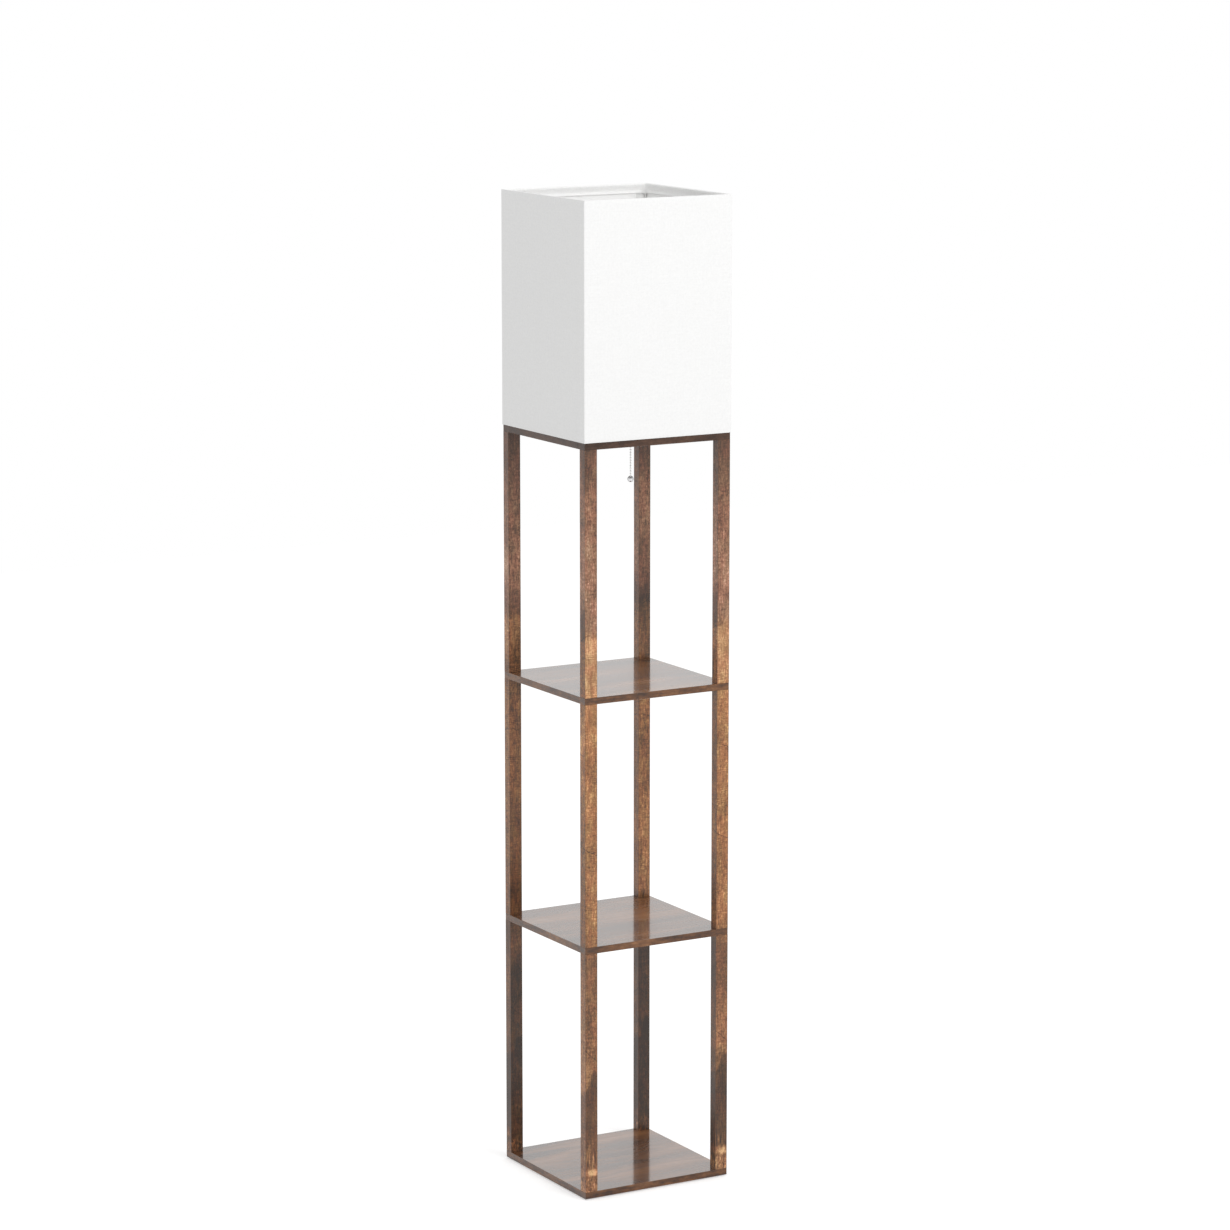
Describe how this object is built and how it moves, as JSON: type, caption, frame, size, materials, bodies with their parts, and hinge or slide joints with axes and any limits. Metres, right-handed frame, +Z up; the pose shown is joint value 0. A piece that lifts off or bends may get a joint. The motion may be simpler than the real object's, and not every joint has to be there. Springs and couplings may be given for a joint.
{
  "type": "shelf floor lamp",
  "caption": "Tall square floor lamp: a white linen box shade and a bead pull chain over open wood shelves on corner posts.",
  "frame": {"origin": "on the floor, under the middle of the base board", "axes": "+Z up along the lamp's height, front face towards -Y, chain on the +X side of the lampholder"},
  "size_m": [0.268, 0.268, 1.602],
  "materials": {
    "felt": "felt",
    "board_laminate": "rustic brown laminate, semi-gloss",
    "post_laminate": "rustic brown laminate, satin",
    "frame_laminate": "dark rustic brown laminate, satin",
    "dowel_wood": "plain beech",
    "contact_brass": "bright",
    "fastener_steel": "zinc plated",
    "shade_linen": "white linen on a stiff backing",
    "shade_hem": "white linen strip",
    "white_wire": "white powder coat",
    "black_phenolic": "black phenolic",
    "nickel_shell": "polished nickel plate",
    "liner_card": "insulating fibre",
    "switch_nylon": "natural nylon",
    "chain_nickel": "nickel plated beads",
    "ball_chrome": "polished",
    "bulb_cap_metal": "satin",
    "bulb_plastic": "white",
    "led_phosphor": "white board with yellow LEDs",
    "bulb_frosted": "frosted diffuser"
  },
  "bodies": {
    "stand": {"foot_pads": "felt", "base_board": "board_laminate", "lower_shelf": "board_laminate", "upper_shelf": "board_laminate", "lower_post_front_left": "post_laminate", "lower_post_front_right": "post_laminate", "lower_post_back_left": "post_laminate", "lower_post_back_right": "post_laminate", "middle_post_front_left": "post_laminate", "middle_post_front_right": "post_laminate", "middle_post_back_left": "post_laminate", "middle_post_back_right": "post_laminate", "upper_post_front_left": "post_laminate", "upper_post_front_right": "post_laminate", "upper_post_back_left": "post_laminate", "upper_post_back_right": "post_laminate", "front_rail": "frame_laminate", "back_rail": "frame_laminate", "left_rail": "frame_laminate", "right_rail": "frame_laminate", "socket_bar": "frame_laminate", "frame_dowels": "dowel_wood", "post_inserts": "contact_brass", "base_bolts": "fastener_steel", "shelf_studs": "fastener_steel", "top_bolts": "fastener_steel", "socket_nipple": "fastener_steel", "nipple_washer": "fastener_steel", "nipple_nut": "fastener_steel", "cord_bushing": "black_phenolic", "socket_cap": "nickel_shell", "socket_shell": "nickel_shell", "socket_liner": "liner_card", "socket_body": "black_phenolic", "terminal_screws": "contact_brass", "switch_contacts": "contact_brass", "screw_shell": "contact_brass", "centre_contact": "contact_brass", "chain_guide": "nickel_shell", "switch_shaft": "fastener_steel", "return_spring": "fastener_steel"},
    "shade": {"shade_panel": "shade_linen", "shade_top_hem": "shade_hem", "shade_bottom_hem": "shade_hem", "shade_top_ring": "white_wire", "shade_bottom_ring": "white_wire", "shade_uprights": "white_wire"},
    "bulb": {"bulb_tip": "contact_brass", "bulb_cap": "bulb_cap_metal", "bulb_housing": "bulb_plastic", "led_board": "led_phosphor", "bulb_diffuser": "bulb_frosted"},
    "chain_slide": {"chain_lead": "chain_nickel"},
    "chain_tilt": {"chain_joint": "chain_nickel"},
    "chain_hang": {"pull_chain": "chain_nickel", "pull_ball": "ball_chrome"},
    "inner_chain": {"inner_chain": "chain_nickel"},
    "drum": {"switch_drum": "switch_nylon", "drum_beads": "chain_nickel"},
    "rotor": {"switch_rotor": "switch_nylon"}
  },
  "joints": [
    {"name": "chain_pull", "type": "slide", "parent": "stand", "child": "chain_slide", "axis": [0, 0, -1], "range_m": [0, 0.008], "stiffness_N_per_m": 600, "springref_m": -0.005},
    {"name": "chain_swing_side", "type": "hinge", "parent": "chain_slide", "child": "chain_tilt", "pos_m": [0.027, 0, 1.23925], "axis": [0, -1, 0], "range_deg": [-12, 40]},
    {"name": "chain_swing_front", "type": "hinge", "parent": "chain_tilt", "child": "chain_hang", "pos_m": [0.027, 0, 1.235], "axis": [1, 0, 0], "range_deg": [-40, 40]},
    {"name": "inner_chain_run", "type": "slide", "parent": "stand", "child": "inner_chain", "axis": [1, 0, 0], "range_m": [0, 0.008]},
    {"name": "drum_turn", "type": "hinge", "parent": "stand", "child": "drum", "pos_m": [0.0015, 0, 1.245], "axis": [0, 1, 0], "range_deg": [0, 65.6]},
    {"name": "rotor_turn", "type": "hinge", "parent": "stand", "child": "rotor", "pos_m": [0.0015, 0, 1.245], "axis": [0, 1, 0], "range_deg": [0, 90]},
    {"name": "bulb_removal", "type": "slide", "parent": "stand", "child": "bulb", "axis": [0, 0, 1], "range_m": [0, 0.03]},
    {"name": "shade_lift", "type": "slide", "parent": "stand", "child": "shade", "axis": [0, 0, 1], "range_m": [0, 0.2]}
  ],
  "couplings": [
    {"joint": "inner_chain_run", "follows": "chain_pull", "ratio": 1},
    {"joint": "drum_turn", "follows": "chain_pull", "rad_per_m": 142.86},
    {"joint": "rotor_turn", "follows": "chain_pull", "rad_per_m": 196.3}
  ]
}
